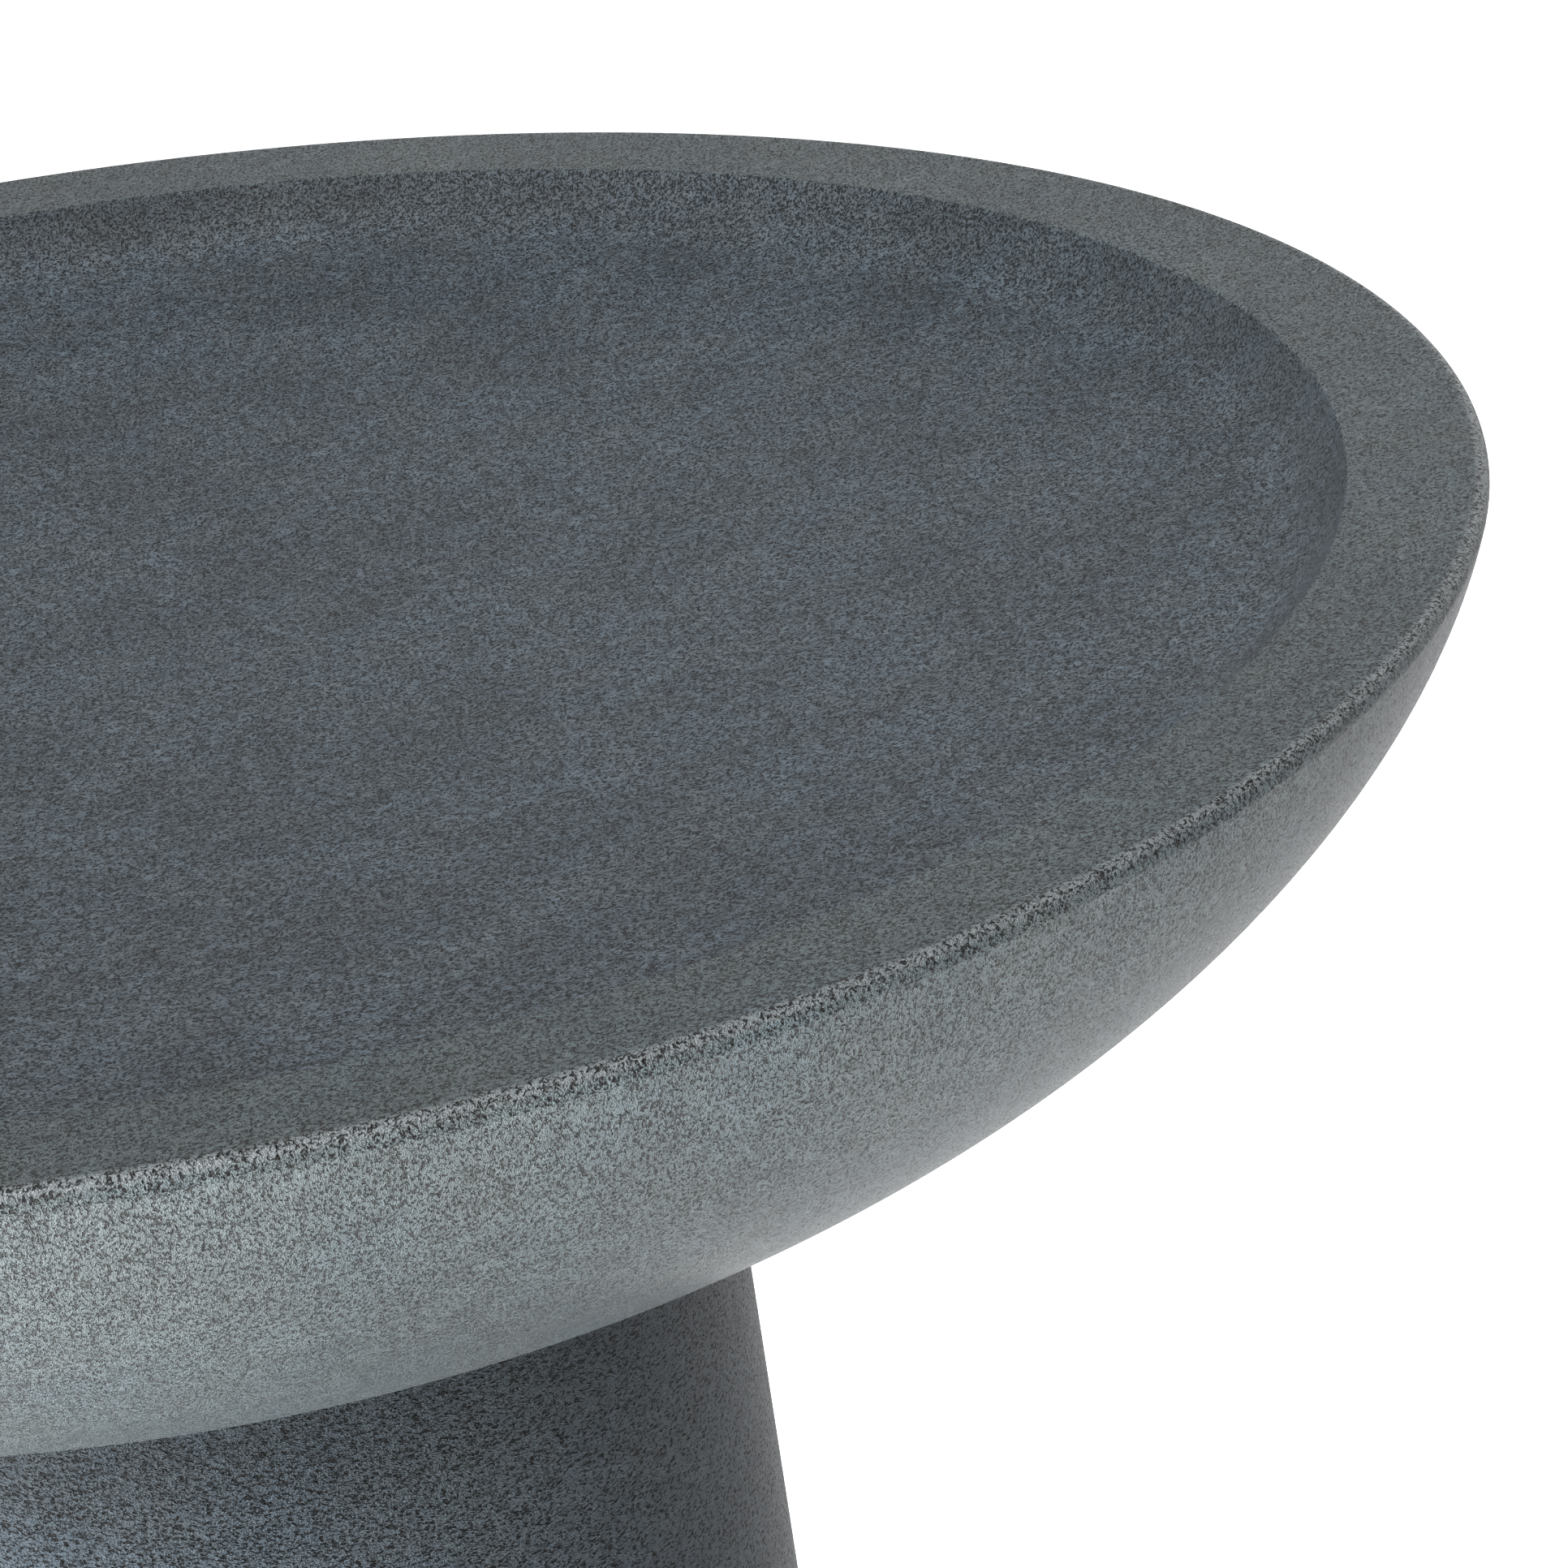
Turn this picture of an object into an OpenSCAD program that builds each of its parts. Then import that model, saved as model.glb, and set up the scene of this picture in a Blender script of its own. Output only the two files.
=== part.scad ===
// Bird bath: a hollow bowl of two bonded shells that stands on a hollow, ballasted pedestal.
// Millimetres, +Z up. The origin is on the axis, on the surface that the rubber feet stand on.

/* [Overall] */
// Height from the ground to the top of the rim
total_h = 610; // [560:5:680]
// Largest radius of the bowl, at the rim
bowl_r = 255; // [250:1:262]

/* [Bowl] */
// Height of the bowl from its flat foot to the top of the rim
bowl_h = 126; // [124:1:128]
// Depth of the basin at its centre, below the top of the rim
basin_depth = 34; // [33.5:0.5:38]
// Width of the flat rim, from its outer to its inner edge
rim_w = 24.5; // [20:0.5:28]
// How far the rim falls from its outer crest to its inner edge
rim_fall = 3; // [1:0.5:4]
// Depth of the seam between the two shells below the rim's top, where the rounded outer edge ends
seam_drop = 3; // [2:0.5:8]
// Radius of the gently dished floor
floor_curve_r = 1300; // [1200:20:1600]
// Radius of the cove between the floor and the basin's wall
cove_r = 24; // [14:1:26]
// Lean of the basin's wall from the vertical, in degrees
basin_draft = 28; // [20:1:32]
// Thickness of the bowl's two shells
bowl_wall = 5; // [4:0.5:6]

/* [Seat] */
// Outer radius of the spigot under the bowl
spigot_r = 62; // [58:1:66]
// Length of the spigot below the bowl's foot
spigot_len = 26; // [20:1:30]
// Radial gap between the spigot and its socket
spigot_gap = 1.5; // [0.5:0.1:2]
// Gap that the rubber ring holds open between bowl and pedestal
seat_gap = 1.5; // [1:0.1:2.5]

/* [Pedestal] */
// Radius of the pedestal where it meets the bowl
pedestal_top_r = 100.5; // [98:0.5:104]
// Half angle of the pedestal's taper, in degrees
taper = 2.2; // [1.5:0.1:3.5]
// Thickness of the pedestal's shell, deck and base plate
pedestal_wall = 5; // [4:0.5:6]
// Depth of the hollow under the base
base_recess = 22; // [20:1:30]

/* [Filler and drain] */
// Thread pitch of the filler cap
cap_pitch = 4; // [3:0.5:5]
// Outer radius of the filler cap
cap_r = 31; // [30:0.5:34]
// Number of grip flutes around the filler cap
cap_flutes = 24; // [12:2:30]
// Outer radius of the drain plug's thread
drain_r = 9.3; // [8:0.1:10]

/* [Feet] */
// Radius of a rubber foot
foot_r = 12; // [10:0.5:14]
// Radius of the circle that the feet stand on
foot_circle_r = 98; // [94:1:100]
// Number of rubber feet
foot_count = 4; // [3:1:6]
// Gap that the feet hold open under the base
foot_gap = 5; // [4:0.5:6]

/* [Hidden] */
$fn = 180;

stone = [0.36, 0.40, 0.42];
black_rubber = [0.07, 0.07, 0.07];
black_plastic = [0.12, 0.12, 0.13];
steel = [0.72, 0.73, 0.74];
brass = [0.78, 0.62, 0.30];

// Clearances: bonded and pressed parts, and parts that only lie in their pockets
press_gap = 0.05;
loose_gap = 0.2;

// Heights
foot_z = total_h - bowl_h;
seam_z = total_h - seam_drop;
deck_z = foot_z - seat_gap;
spigot_z = foot_z - spigot_len;
socket_z = spigot_z - 6;
bowl_recess_z = foot_z + 14;
base_ceiling_z = foot_gap + base_recess;

function arc(c, r, a0, a1, n) =
    [for (i = [0:n]) c + r * [cos(a0 + (a1 - a0) * i / n), sin(a0 + (a1 - a0) * i / n)]];

// The bowl's outer wall is a superellipse of revolution
wall_a = bowl_r * 1.0075;
wall_b = bowl_r * 0.5893;
wall_n = 1.8;
wall_centre_z = total_h + bowl_r * 0.033;
function wall_u(z) = (wall_centre_z - z) / wall_b;
function wall_r(z) = wall_a * pow(1 - pow(wall_u(z), wall_n), 1 / wall_n);
function wall_slope(z) =
    wall_a / wall_b * pow(wall_u(z), wall_n - 1) * pow(1 - pow(wall_u(z), wall_n), 1 / wall_n - 1);
function wall_lean(z) = atan(wall_slope(z));
// A point at depth t inside the outer wall, measured square to it
function wall_point(z, t) = [wall_r(z) - t * cos(wall_lean(z)), z + t * sin(wall_lean(z))];
// Points up the wall from low to high, closer together where it bends most
function wall_run(low, high, t, n) = [for (i = [0:n]) wall_point(low + (high - low) * pow(i / n, 1.4), t)];
function backwards(list) = [for (i = [len(list) - 1:-1:0]) list[i]];

// Basin: sloping rim, draughted wall, cove and dished floor
seam_lean = wall_lean(seam_z);
edge_r = seam_drop / (1 + sin(seam_lean));
edge_centre = [wall_r(seam_z) - edge_r * cos(seam_lean), total_h - edge_r];
rim_in = [bowl_r - rim_w, total_h - rim_fall];
rim_lean = atan(rim_fall / (edge_centre[0] - rim_in[0]));
floor_centre = [0, total_h - basin_depth + floor_curve_r];
wall_down = [-sin(basin_draft), -cos(basin_draft)];
wall_in = [-cos(basin_draft), sin(basin_draft)];
cove_from = rim_in + cove_r * wall_in - floor_centre;
cove_half = cove_from * wall_down;
cove_drop = sqrt(pow(cove_half, 2) - cove_from * cove_from + pow(floor_curve_r - cove_r, 2)) - cove_half;
cove_centre = rim_in + cove_drop * wall_down + cove_r * wall_in;
cove_end = atan2(cove_centre[1] - floor_centre[1], cove_centre[0]);

// Small round on the rim's inner edge, tangent to the rim and to the basin's wall
lip_r = 1;
lip_half = (90 + rim_lean + basin_draft) / 2;
lip_axis = (rim_lean - 90 - basin_draft) / 2;
lip_centre = rim_in + lip_r / sin(lip_half) * [cos(lip_axis), sin(lip_axis)];

// Pedestal
function pedestal_r(z) = pedestal_top_r + (deck_z - z) * tan(taper);
socket_r = spigot_r + spigot_gap;
cup_wall = 5;
recess_r = spigot_r - cup_wall;
foot_disc_r = 94;
vent_r = 6;
deck_r = pedestal_r(deck_z) - pedestal_wall;
plate_r = pedestal_r(foot_gap) - pedestal_wall - 1;
base_recess_r = 78;
ring_in_r = 74;
ring_out_r = 88;
groove_depth = 1.5;

// Filler
neck_hole_r = 24;
neck_bore_r = 21;
neck_top_z = socket_z + 18;
neck_low_z = socket_z - pedestal_wall - 4;
neck_flange_h = 3;
thread_h = 1.8;
seal_h = 2;
cap_top_h = 4;
cap_skirt_r = neck_hole_r + thread_h + 0.5;

// Drain
drain_boss_r = drain_r + 6;
drain_boss_low_z = base_ceiling_z - 2;
drain_boss_h = 16;
drain_head_h = 7;
drain_shank_h = 17;

// Feet
foot_pocket = 1;
insert_r = 4;
insert_z = foot_gap + foot_pocket;
insert_h = 12;
screw_r = 2.5;
screw_head_r = 4.6;
screw_head_h = 2.6;
screw_head_z = 1.8;
boss_r = 9;

module at_feet() {
    for (i = [0:foot_count - 1])
        rotate([0, 0, 45 + i * 360 / foot_count])
            translate([foot_circle_r, 0, 0])
                children();
}

// A ring of rectangular section
module ring(r_out, r_in, z, h) {
    translate([0, 0, z])
        difference() {
            cylinder(r = r_out, h = h);
            translate([0, 0, -1])
                cylinder(r = r_in, h = h + 2);
        }
}

// Upper shell of the bowl: dished floor, cove, rim, and a rib below that locates the lower shell
module basin_shell() {
    rib_low_z = seam_z - 8;
    rib_w = 3;
    w = bowl_wall;
    color(stone)
        rotate_extrude()
            polygon(concat(
                arc(edge_centre, edge_r, 4 - seam_lean, 90 + rim_lean, 12),
                arc(lip_centre, lip_r, 90 + rim_lean, 180 - basin_draft, 5),
                arc(cove_centre, cove_r, -basin_draft, cove_end, 10),
                arc(floor_centre, floor_curve_r, cove_end, -90, 24),
                arc(floor_centre, floor_curve_r + w, -90, cove_end, 16),
                arc(cove_centre, cove_r + w, cove_end, -40, 6),
                [[rim_in[0] + w, rim_in[1] - w], wall_point(seam_z - 3, w + rib_w)],
                [wall_point(rib_low_z, w + rib_w), wall_point(rib_low_z, w + loose_gap)],
                [wall_point(seam_z - 2, w + loose_gap), [wall_r(seam_z) - w - 0.6, seam_z]],
                [[wall_r(seam_z) - 0.3, seam_z]]
            ));
}

// Lower shell of the bowl: outer wall, with a narrow lip around the opening for the foot
module bowl_underside() {
    w = bowl_wall;
    color(stone)
        rotate_extrude()
            polygon(concat(
                wall_run(foot_z, seam_z - 0.3, 0, 26),
                [[wall_r(seam_z) - 0.3, seam_z], [wall_r(seam_z) - w, seam_z]],
                backwards(wall_run(foot_z, seam_z - 3, w, 20)),
                [[foot_disc_r + loose_gap, foot_z + w], [foot_disc_r + loose_gap, foot_z]]
            ));
}

// Flat foot bonded to that lip, with the spigot that locates the bowl and clears the filler cap
module bowl_foot() {
    overlap = 4;
    step_h = 3;
    foot_top_z = foot_z + bowl_wall;
    color(stone)
        rotate_extrude()
            polygon([
                [vent_r, bowl_recess_z], [recess_r, bowl_recess_z], [recess_r, spigot_z],
                [spigot_r - 2, spigot_z], [spigot_r, spigot_z + 2], [spigot_r, foot_z],
                [foot_disc_r, foot_z], [foot_disc_r, foot_top_z], [foot_disc_r + overlap, foot_top_z],
                [foot_disc_r + overlap, foot_top_z + step_h], [spigot_r, foot_top_z + step_h],
                [spigot_r, bowl_recess_z + cup_wall - 2], [spigot_r - 2, bowl_recess_z + cup_wall],
                [vent_r, bowl_recess_z + cup_wall]
            ]);
}

// Push-in breather plug in the bowl's vent: flange, stem and snap bead
module bowl_vent_plug() {
    stem_r = 5.9;
    flange_r = 9;
    bead_r = 6.7;
    top_z = bowl_recess_z + cup_wall;
    color(black_plastic)
        rotate_extrude()
            polygon([
                [0, bowl_recess_z - 2], [flange_r - 1, bowl_recess_z - 2], [flange_r, bowl_recess_z - 1],
                [flange_r, bowl_recess_z], [stem_r, bowl_recess_z], [stem_r, top_z + 0.1],
                [bead_r, top_z + 1], [stem_r - 1, top_z + 4], [0, top_z + 4]
            ]);
}

// Rubber ring in the deck's groove: the bowl stands on it
module seat_ring() {
    color(black_rubber)
        ring(ring_out_r, ring_in_r, deck_z - groove_depth, groove_depth + seat_gap);
}

// Tapered shell of the pedestal, open at both ends
module pedestal_shell() {
    top_edge = 3;
    base_edge = 4;
    top_z = deck_z - top_edge;
    base_z = foot_gap + base_edge;
    w = pedestal_wall;
    color(stone)
        rotate_extrude()
            polygon(concat(
                [[pedestal_r(foot_gap) - w, foot_gap]],
                arc([pedestal_r(base_z) - base_edge, base_z], base_edge, -90, 0, 8),
                arc([pedestal_r(top_z) - top_edge, top_z], top_edge, 0, 90, 8),
                [[pedestal_r(deck_z) - w, deck_z]]
            ));
}

// Deck bonded into the top of the shell: socket for the spigot, groove for the seat ring, filler hole
module pedestal_deck() {
    skirt_h = 18;
    w = pedestal_wall;
    r = deck_r - loose_gap;
    color(stone)
        rotate_extrude()
            polygon([
                [r, deck_z], [ring_out_r + loose_gap, deck_z],
                [ring_out_r + loose_gap, deck_z - groove_depth],
                [ring_in_r - loose_gap, deck_z - groove_depth], [ring_in_r - loose_gap, deck_z],
                [socket_r + 2, deck_z], [socket_r, deck_z - 2], [socket_r, socket_z],
                [neck_hole_r + press_gap, socket_z], [neck_hole_r + press_gap, socket_z - w],
                [socket_r + w, socket_z - w], [socket_r + w, deck_z - w - groove_depth],
                [r - w, deck_z - w - groove_depth], [r - w, deck_z - skirt_h], [r, deck_z - skirt_h]
            ]);
}

// Plate bonded into the foot of the shell: drain boss in a recess, bosses for the inserts of the feet
module base_plate() {
    skirt_h = 16;
    w = pedestal_wall;
    color(stone)
        difference() {
            union() {
                rotate_extrude()
                    polygon([
                        [0, base_ceiling_z], [base_recess_r - 3, base_ceiling_z],
                        [base_recess_r, base_ceiling_z - 3], [base_recess_r, foot_gap], [plate_r, foot_gap],
                        [plate_r - 0.6, foot_gap + skirt_h], [plate_r - w, foot_gap + skirt_h],
                        [plate_r - w, foot_gap + w], [base_recess_r + w, foot_gap + w],
                        [base_recess_r + w, base_ceiling_z + w - 3],
                        [base_recess_r + w - 3, base_ceiling_z + w], [0, base_ceiling_z + w]
                    ]);
                translate([0, 0, drain_boss_low_z])
                    cylinder(r = drain_boss_r, h = drain_boss_h);
                at_feet()
                    translate([0, 0, foot_gap])
                        cylinder(r = boss_r, h = insert_h + 7);
            }
            translate([0, 0, drain_boss_low_z - 1])
                cylinder(r = drain_r + loose_gap, h = drain_boss_h + 2);
            at_feet() {
                translate([0, 0, foot_gap - 1])
                    cylinder(r = foot_r + loose_gap, h = foot_pocket + 1);
                translate([0, 0, foot_gap])
                    cylinder(r = insert_r + press_gap, h = foot_pocket + insert_h + 2);
            }
        }
}

// Threaded neck bonded into the socket's floor, its thread shown as three plain ridges
module filler_neck() {
    ridge_h = 2;
    color(black_plastic)
        difference() {
            union() {
                translate([0, 0, neck_low_z])
                    cylinder(r = neck_hole_r, h = neck_top_z - neck_low_z);
                translate([0, 0, socket_z])
                    cylinder(r = neck_hole_r + 9, h = neck_flange_h);
                for (i = [0:2])
                    translate([0, 0, neck_top_z - 3 - i * cap_pitch])
                        rotate_extrude()
                            polygon([
                                [neck_hole_r - 1, -ridge_h / 2], [neck_hole_r, -ridge_h / 2],
                                [neck_hole_r + thread_h, 0], [neck_hole_r, ridge_h / 2],
                                [neck_hole_r - 1, ridge_h / 2]
                            ]);
            }
            translate([0, 0, neck_low_z - 1])
                cylinder(r = neck_bore_r, h = neck_top_z - neck_low_z + 2);
        }
}

// Screw cap with grip flutes and a raised finger bar
module filler_cap() {
    low_z = socket_z + neck_flange_h + 1;
    roof_z = neck_top_z + seal_h;
    bar_w = 9;
    bar_h = 3;
    flute_r = 2;
    color(black_plastic)
        difference() {
            union() {
                translate([0, 0, low_z])
                    cylinder(r = cap_r, h = roof_z + cap_top_h - 1 - low_z);
                translate([0, 0, roof_z + cap_top_h - 1])
                    cylinder(r1 = cap_r, r2 = cap_r - 1, h = 1);
                translate([-cap_r + 6, -bar_w / 2, roof_z + cap_top_h - 0.5])
                    cube([2 * cap_r - 12, bar_w, bar_h + 0.5]);
            }
            translate([0, 0, low_z - 1])
                cylinder(r = cap_skirt_r, h = roof_z - low_z + 1);
            for (i = [0:cap_flutes - 1])
                rotate([0, 0, i * 360 / cap_flutes])
                    translate([cap_r + 0.6, 0, low_z - 1])
                        cylinder(r = flute_r, h = roof_z + cap_top_h - 3 - low_z, $fn = 32);
        }
}

// Flat ring between the neck and the cap
module filler_cap_seal() {
    color(black_rubber)
        ring(cap_skirt_r - loose_gap, neck_bore_r, neck_top_z, seal_h);
}

// Hexagon-headed screw plug, hollowed from above
module drain_plug() {
    head_z = drain_boss_low_z - seal_h - drain_head_h;
    color(black_plastic)
        difference() {
            union() {
                translate([0, 0, head_z])
                    cylinder(r = 13.5, h = drain_head_h - 1.5, $fn = 6);
                translate([0, 0, head_z + drain_head_h - 1.5])
                    cylinder(r = 15, h = 1.5);
                translate([0, 0, head_z + drain_head_h])
                    cylinder(r = drain_r, h = drain_shank_h - 1.5);
                translate([0, 0, head_z + drain_head_h + drain_shank_h - 1.5])
                    cylinder(r1 = drain_r, r2 = drain_r - 1.5, h = 1.5);
            }
            translate([0, 0, head_z + 4])
                cylinder(r = drain_r - 3, h = drain_head_h + drain_shank_h);
        }
}

// Sealing ring between the plug's flange and the drain boss
module drain_plug_seal() {
    color(black_rubber)
        ring(14.5, drain_r + 0.1, drain_boss_low_z - seal_h, seal_h);
}

// Round feet, each with a stepped hole that hides its screw's head
module rubber_feet() {
    color(black_rubber)
        at_feet()
            difference() {
                union() {
                    cylinder(r1 = foot_r - 1, r2 = foot_r, h = 1);
                    translate([0, 0, 1])
                        cylinder(r = foot_r, h = insert_z - 1);
                }
                translate([0, 0, -1])
                    cylinder(r = screw_head_r + 0.2, h = screw_head_z + screw_head_h + 1);
                cylinder(r = screw_r + 0.1, h = insert_z + 1);
            }
}

// Pan-headed screws with a hexagon socket
module foot_screws() {
    shank_z = screw_head_z + screw_head_h;
    color(steel)
        at_feet()
            difference() {
                union() {
                    translate([0, 0, screw_head_z])
                        cylinder(r1 = screw_head_r - 0.6, r2 = screw_head_r, h = 0.6);
                    translate([0, 0, screw_head_z + 0.6])
                        cylinder(r = screw_head_r, h = screw_head_h - 0.6);
                    translate([0, 0, shank_z])
                        cylinder(r = screw_r, h = insert_z + insert_h - 1 - shank_z);
                }
                translate([0, 0, screw_head_z - 1])
                    cylinder(r = 1.75, h = 2.6, $fn = 6);
            }
}

// Brass inserts with a groove that keys them into the moulding
module foot_inserts() {
    groove_h = 2;
    color(brass)
        at_feet()
            translate([0, 0, insert_z])
                difference() {
                    cylinder(r = insert_r, h = insert_h);
                    translate([0, 0, -1])
                        cylinder(r = screw_r + press_gap, h = insert_h + 2);
                    ring(insert_r + 1, insert_r - 0.6, (insert_h - groove_h) / 2, groove_h);
                }
}

basin_shell();
bowl_underside();
bowl_foot();
bowl_vent_plug();
seat_ring();
pedestal_shell();
pedestal_deck();
base_plate();
filler_neck();
filler_cap();
filler_cap_seal();
drain_plug();
drain_plug_seal();
rubber_feet();
foot_screws();
foot_inserts();
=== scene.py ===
import bpy
from math import atan, atan2, cos, degrees, hypot, pi, radians, sin, sqrt, tan
from mathutils import Matrix, Vector


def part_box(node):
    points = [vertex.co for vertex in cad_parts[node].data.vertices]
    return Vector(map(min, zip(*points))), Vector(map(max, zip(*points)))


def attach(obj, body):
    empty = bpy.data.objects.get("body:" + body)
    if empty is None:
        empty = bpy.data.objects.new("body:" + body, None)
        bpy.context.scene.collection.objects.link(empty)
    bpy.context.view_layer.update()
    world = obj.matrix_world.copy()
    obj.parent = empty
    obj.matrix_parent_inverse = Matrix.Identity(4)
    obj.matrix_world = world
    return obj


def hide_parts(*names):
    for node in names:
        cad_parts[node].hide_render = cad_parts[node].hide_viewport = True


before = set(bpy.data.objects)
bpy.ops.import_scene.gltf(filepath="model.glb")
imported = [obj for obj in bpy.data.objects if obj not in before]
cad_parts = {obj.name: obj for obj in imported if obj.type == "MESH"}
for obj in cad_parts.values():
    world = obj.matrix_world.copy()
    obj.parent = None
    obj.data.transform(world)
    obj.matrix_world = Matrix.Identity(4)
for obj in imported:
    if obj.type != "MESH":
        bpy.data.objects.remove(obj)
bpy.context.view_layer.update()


# ---------------------------------------------------------------- base plate
# Closes the foot of the pedestal: resin with mineral filler, moulded, with a recess around the drain
# boss and four bosses for the inserts of the feet; bonded into the tapered shell.

def arc(centre, radius, start, end, steps):
    """Points of (radius, height) along an arc, angles in degrees from the outward direction."""
    angles = [radians(start + (end - start) * i / steps) for i in range(steps + 1)]
    return [(centre[0] + radius * cos(a), centre[1] + radius * sin(a)) for a in angles]


def rounded(points, radius, steps=4):
    """An outline of (radius, height) points with every inner corner rounded by up to radius."""
    out = [points[0]]
    for before, here, after in zip(points, points[1:], points[2:]):
        a, b = Vector(before) - Vector(here), Vector(after) - Vector(here)
        reach = min(radius, a.length * 0.45, b.length * 0.45)
        start, end = Vector(here) + a.normalized() * reach, Vector(here) + b.normalized() * reach
        for i in range(steps + 1):
            t = i / steps
            p = start * (1 - t) ** 2 + Vector(here) * 2 * t * (1 - t) + end * t ** 2
            out.append((p.x, p.y))
    out.append(points[-1])
    return out


def start_piece(name):
    """One loose vertex on the axis, in edit mode, ready to be drawn out."""
    bpy.ops.object.select_all(action="DESELECT")
    bpy.ops.mesh.primitive_plane_add(size=0.002, location=(0, 0, 0))
    piece = bpy.context.object
    piece.name = name
    piece.data.name = name
    bpy.ops.object.mode_set(mode="EDIT")
    bpy.ops.mesh.select_all(action="SELECT")
    bpy.ops.mesh.merge(type="CENTER")
    return piece


def close_piece(smooth_angle=32):
    """Merge doubles, turn the faces outwards and shade the curved ones smooth."""
    bpy.ops.mesh.select_all(action="SELECT")
    bpy.ops.mesh.remove_doubles(threshold=0.000004)
    bpy.ops.mesh.normals_make_consistent(inside=False)
    bpy.ops.mesh.select_all(action="DESELECT")
    bpy.ops.object.mode_set(mode="OBJECT")
    bpy.ops.object.shade_smooth_by_angle(angle=radians(smooth_angle))


def turned(name, outline, steps=128, smooth_angle=32):
    """Draw an outline of (radius, height) in millimetres and spin it about the axis."""
    if outline[0][0] > 0 or outline[-1][0] > 0:
        outline = outline + [outline[0]]
    piece = start_piece(name)
    here = (0, 0)
    for i, (r, z) in enumerate(outline):
        step = ((r - here[0]) * 0.001, 0, (z - here[1]) * 0.001)
        if i:
            bpy.ops.mesh.extrude_region_move(TRANSFORM_OT_translate={"value": step})
        else:
            bpy.ops.transform.translate(value=step)
        here = (r, z)
    bpy.ops.mesh.select_all(action="SELECT")
    bpy.ops.mesh.spin(steps=steps, angle=2 * pi, center=(0, 0, 0), axis=(0, 0, 1))
    close_piece(smooth_angle)
    return piece


def millimetres(node):
    """A node's lowest and highest corners in millimetres."""
    low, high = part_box(node)
    return Vector(low) * 1000, Vector(high) * 1000


plate_low, plate_high = millimetres("base_plate")
plate_r, plate_thick, recess_r = plate_high.x, 5, 78
ceiling_z, skirt_top = plate_high.z - 12, plate_low.z + 16
drain_bore_r, drain_boss_r, drain_boss_top = 9.5, 15.3, ceiling_z + 14
feet_ring_r, pocket_r, insert_boss_r, insert_hole_r = 98, 12.2, 9, 4.05
feet_xy = [(feet_ring_r * cos(radians(a)), feet_ring_r * sin(radians(a))) for a in (45, 135, 225, 315)]

base_plate = turned("base_plate_moulded", rounded([
    (drain_bore_r, ceiling_z), (recess_r, ceiling_z), (recess_r, plate_low.z), (plate_r, plate_low.z),
    (plate_r - 0.6, skirt_top), (plate_r - plate_thick, skirt_top),
    (plate_r - plate_thick, plate_low.z + plate_thick), (recess_r + plate_thick, plate_low.z + plate_thick),
    (recess_r + plate_thick, ceiling_z + plate_thick), (drain_boss_r, ceiling_z + plate_thick),
    (drain_boss_r, drain_boss_top), (drain_bore_r, drain_boss_top), (drain_bore_r, ceiling_z),
], 2.5)[:-1], steps=160)


def drum(radius, low, high, place, sides=48, bevel=0.0):
    """A short round drum in millimetres, used as a boss or to cut a hole."""
    bpy.ops.object.select_all(action="DESELECT")
    bpy.ops.mesh.primitive_cylinder_add(
        vertices=sides, radius=radius * 0.001, depth=(high - low) * 0.001,
        location=(place[0] * 0.001, place[1] * 0.001, (low + high) * 0.0005))
    one = bpy.context.object
    bpy.ops.object.transform_apply(location=True, rotation=False, scale=False)
    if bevel:
        bpy.ops.object.mode_set(mode="EDIT")
        bpy.ops.mesh.select_all(action="SELECT")
        bpy.ops.mesh.bevel(offset=bevel * 0.001, segments=3)
        bpy.ops.object.mode_set(mode="OBJECT")
    return one


def joined(name, pieces):
    """Join pieces into the first one's object."""
    bpy.ops.object.select_all(action="DESELECT")
    for one in pieces:
        one.select_set(True)
    bpy.context.view_layer.objects.active = pieces[0]
    if len(pieces) > 1:
        bpy.ops.object.join()
    bpy.context.object.name = name
    bpy.context.object.data.name = name
    return bpy.context.object


def combined(piece, tool, how, smooth_angle=32):
    """Unite a piece with a tool, or cut the tool out of it, and remove the tool."""
    bpy.ops.object.select_all(action="DESELECT")
    piece.select_set(True)
    bpy.context.view_layer.objects.active = piece
    cut = piece.modifiers.new("cut", "BOOLEAN")
    cut.operation, cut.solver, cut.object = how, "EXACT", tool
    bpy.ops.object.modifier_apply(modifier="cut")
    bpy.data.objects.remove(tool, do_unlink=True)
    bpy.ops.object.shade_smooth_by_angle(angle=radians(smooth_angle))
    return piece


# bosses for the inserts, shallow pockets for the feet, and the inserts' holes
for name, radius, low, high, how in (("insert_bosses", insert_boss_r, 1.5, 19, "UNION"),
                                     ("foot_pockets", pocket_r, -2, 1, "DIFFERENCE"),
                                     ("insert_holes", insert_hole_r, -2, 15, "DIFFERENCE")):
    drums = [drum(radius, plate_low.z + low, plate_low.z + high, xy) for xy in feet_xy]
    combined(base_plate, joined(name, drums), how)


def effect(name, takes, gives):
    """A shader node group with named inputs and outputs."""
    tree = bpy.data.node_groups.new(name, "ShaderNodeTree")
    for socket, kind, value in takes:
        made = tree.interface.new_socket(socket, in_out="INPUT", socket_type=kind)
        if value is not None:
            made.default_value = value
    for socket, kind in gives:
        tree.interface.new_socket(socket, in_out="OUTPUT", socket_type=kind)
    return tree, tree.nodes.new("NodeGroupInput"), tree.nodes.new("NodeGroupOutput")


def add_node(tree, kind, link=None, **settings):
    """A node with its settings, its inputs linked or set by name or number."""
    node = tree.nodes.new("ShaderNode" + kind)
    for key, value in settings.items():
        setattr(node, key, value)
    for socket, value in (link or {}).items():
        if isinstance(value, bpy.types.NodeSocket):
            tree.links.new(value, node.inputs[socket])
        else:
            node.inputs[socket].default_value = value
    return node


def calc(tree, how, a, b=0.5):
    """The result of one sum on two values."""
    return add_node(tree, "Math", {0: a, 1: b}, operation=how).outputs[0]


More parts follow.
